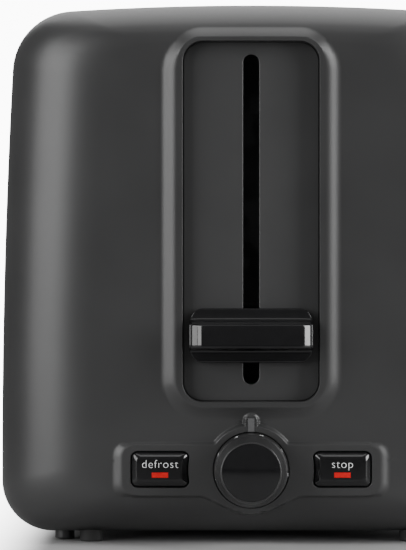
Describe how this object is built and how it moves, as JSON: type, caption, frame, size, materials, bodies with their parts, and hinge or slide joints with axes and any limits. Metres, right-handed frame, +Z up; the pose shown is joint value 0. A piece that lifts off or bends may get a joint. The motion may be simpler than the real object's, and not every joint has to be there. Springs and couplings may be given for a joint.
{
  "type": "pop-up toaster",
  "caption": "Two-slot pop-up toaster with domed charcoal body, front lever in a raised frame, browning knob between push buttons, and a rear crumb tray.",
  "frame": {"origin": "centre of the footprint, at the level of the surface the feet stand on", "axes": "+Z up, +X to the right when facing the control end, which faces -Y, +Y along the bread slots to the rear"},
  "size_m": [0.1772, 0.3174, 0.19],
  "materials": {
    "case_plastic": "fine spark-eroded charcoal moulding",
    "panel_plastic": "satin charcoal moulding",
    "knob_satin": "satin black",
    "gloss_black": "polished black",
    "marker_print": "light grey insert",
    "red_lens": "tinted red",
    "shell_paint": "charcoal powder coat",
    "deck_paint": "satin black enamel",
    "galvanised": "zinc-coated sheet",
    "aluminised": "rolled, slightly dull",
    "bright_steel": "plated wire and bar",
    "copper_wire": "lacquered copper windings",
    "nylon": "natural nylon",
    "component_black": "moulded component bodies",
    "board_green": "solder resist on laminate",
    "porcelain": "unglazed terminal block",
    "lead_sleeve": "silicone-covered leads",
    "foot_rubber": "matt black",
    "mica": "flaked mica board",
    "heater_alloy": "heat-darkened resistance ribbon",
    "screw_zinc": "zinc-plated"
  },
  "bodies": {
    "casing": {"base_plate": "galvanised", "board_carrier": "nylon", "board_parts": "component_black", "board_screws": "screw_zinc", "bulkhead_screws": "screw_zinc", "cap_screws": "screw_zinc", "centre_baffle": "aluminised", "contact_block": "component_black", "control_board": "board_green", "cord_cleats": "case_plastic", "cord_gland": "component_black", "front_bulkhead": "galvanised", "front_cap": "case_plastic", "guide_rods": "bright_steel", "heater_ribbon_left_inner": "heater_alloy", "heater_ribbon_left_outer": "heater_alloy", "heater_ribbon_right_inner": "heater_alloy", "heater_ribbon_right_outer": "heater_alloy", "indicator_leds": "red_lens", "lead_wires": "lead_sleeve", "magnet_coil": "copper_wire", "magnet_core": "bright_steel", "mica_board_left_inner": "mica", "mica_board_left_outer": "mica", "mica_board_right_inner": "mica", "mica_board_right_outer": "mica", "outer_shell": "shell_paint", "pointer_mark": "marker_print", "potentiometer": "component_black", "rear_bulkhead": "galvanised", "rear_cap": "case_plastic", "return_spring_left": "bright_steel", "return_spring_right": "bright_steel", "rod_bridge": "galvanised", "rubber_feet": "foot_rubber", "side_reflector_left": "aluminised", "side_reflector_right": "aluminised", "slot_panel": "panel_plastic", "tact_switches": "component_black", "terminal_block": "porcelain", "top_deck": "deck_paint"},
    "carriage": {"carriage": "galvanised", "lever_knob": "gloss_black", "guide_bushes": "nylon", "bread_rack_left": "galvanised", "bread_rack_right": "galvanised", "armature": "bright_steel"},
    "guard_left_outer": {"bread_guard_left_outer": "bright_steel"},
    "guard_left_inner": {"bread_guard_left_inner": "bright_steel"},
    "guard_right_inner": {"bread_guard_right_inner": "bright_steel"},
    "guard_right_outer": {"bread_guard_right_outer": "bright_steel"},
    "browning_knob": {"browning_knob": "knob_satin", "knob_face": "gloss_black", "pot_shaft": "bright_steel"},
    "defrost_button": {"defrost_button": "gloss_black", "defrost_lens": "red_lens"},
    "stop_button": {"stop_button": "gloss_black", "stop_lens": "red_lens"},
    "crumb_tray": {"crumb_tray": "aluminised", "tray_handle": "case_plastic"}
  },
  "joints": [
    {"name": "carriage_slide", "type": "slide", "parent": "casing", "child": "carriage", "axis": [0, 0, 1], "range_m": [0, 0.084], "deforming": ["return_spring_left", "return_spring_right"]},
    {"name": "guard_left_outer_lean", "type": "hinge", "parent": "casing", "child": "guard_left_outer", "pos_m": [-0.048, 0.012, 0.036], "axis": [0, 1, 0], "range_deg": [-3.5, 0]},
    {"name": "guard_left_inner_lean", "type": "hinge", "parent": "casing", "child": "guard_left_inner", "pos_m": [-0.014, 0.012, 0.036], "axis": [0, 1, 0], "range_deg": [0, 3.5]},
    {"name": "guard_right_inner_lean", "type": "hinge", "parent": "casing", "child": "guard_right_inner", "pos_m": [0.014, 0.012, 0.036], "axis": [0, 1, 0], "range_deg": [-3.5, 0]},
    {"name": "guard_right_outer_lean", "type": "hinge", "parent": "casing", "child": "guard_right_outer", "pos_m": [0.048, 0.012, 0.036], "axis": [0, 1, 0], "range_deg": [0, 3.5]},
    {"name": "browning_turn", "type": "hinge", "parent": "casing", "child": "browning_knob", "pos_m": [0, -0.14125, 0.0266], "axis": [0, -1, 0], "range_deg": [-100, 100]},
    {"name": "defrost_press", "type": "slide", "parent": "casing", "child": "defrost_button", "axis": [0, 1, 0], "range_m": [0, 0.0015], "stiffness_N_per_m": 300, "springref_m": -0.001},
    {"name": "stop_press", "type": "slide", "parent": "casing", "child": "stop_button", "axis": [0, 1, 0], "range_m": [0, 0.0015], "stiffness_N_per_m": 300, "springref_m": -0.001},
    {"name": "tray_slide", "type": "slide", "parent": "casing", "child": "crumb_tray", "axis": [0, 1, 0], "range_m": [0, 0.23]}
  ],
  "couplings": [
    {"joint": "guard_left_outer_lean", "follows": "carriage_slide", "rad_per_m": -0.72358},
    {"joint": "guard_left_inner_lean", "follows": "carriage_slide", "rad_per_m": 0.72358},
    {"joint": "guard_right_inner_lean", "follows": "carriage_slide", "rad_per_m": -0.72358},
    {"joint": "guard_right_outer_lean", "follows": "carriage_slide", "rad_per_m": 0.72358}
  ]
}
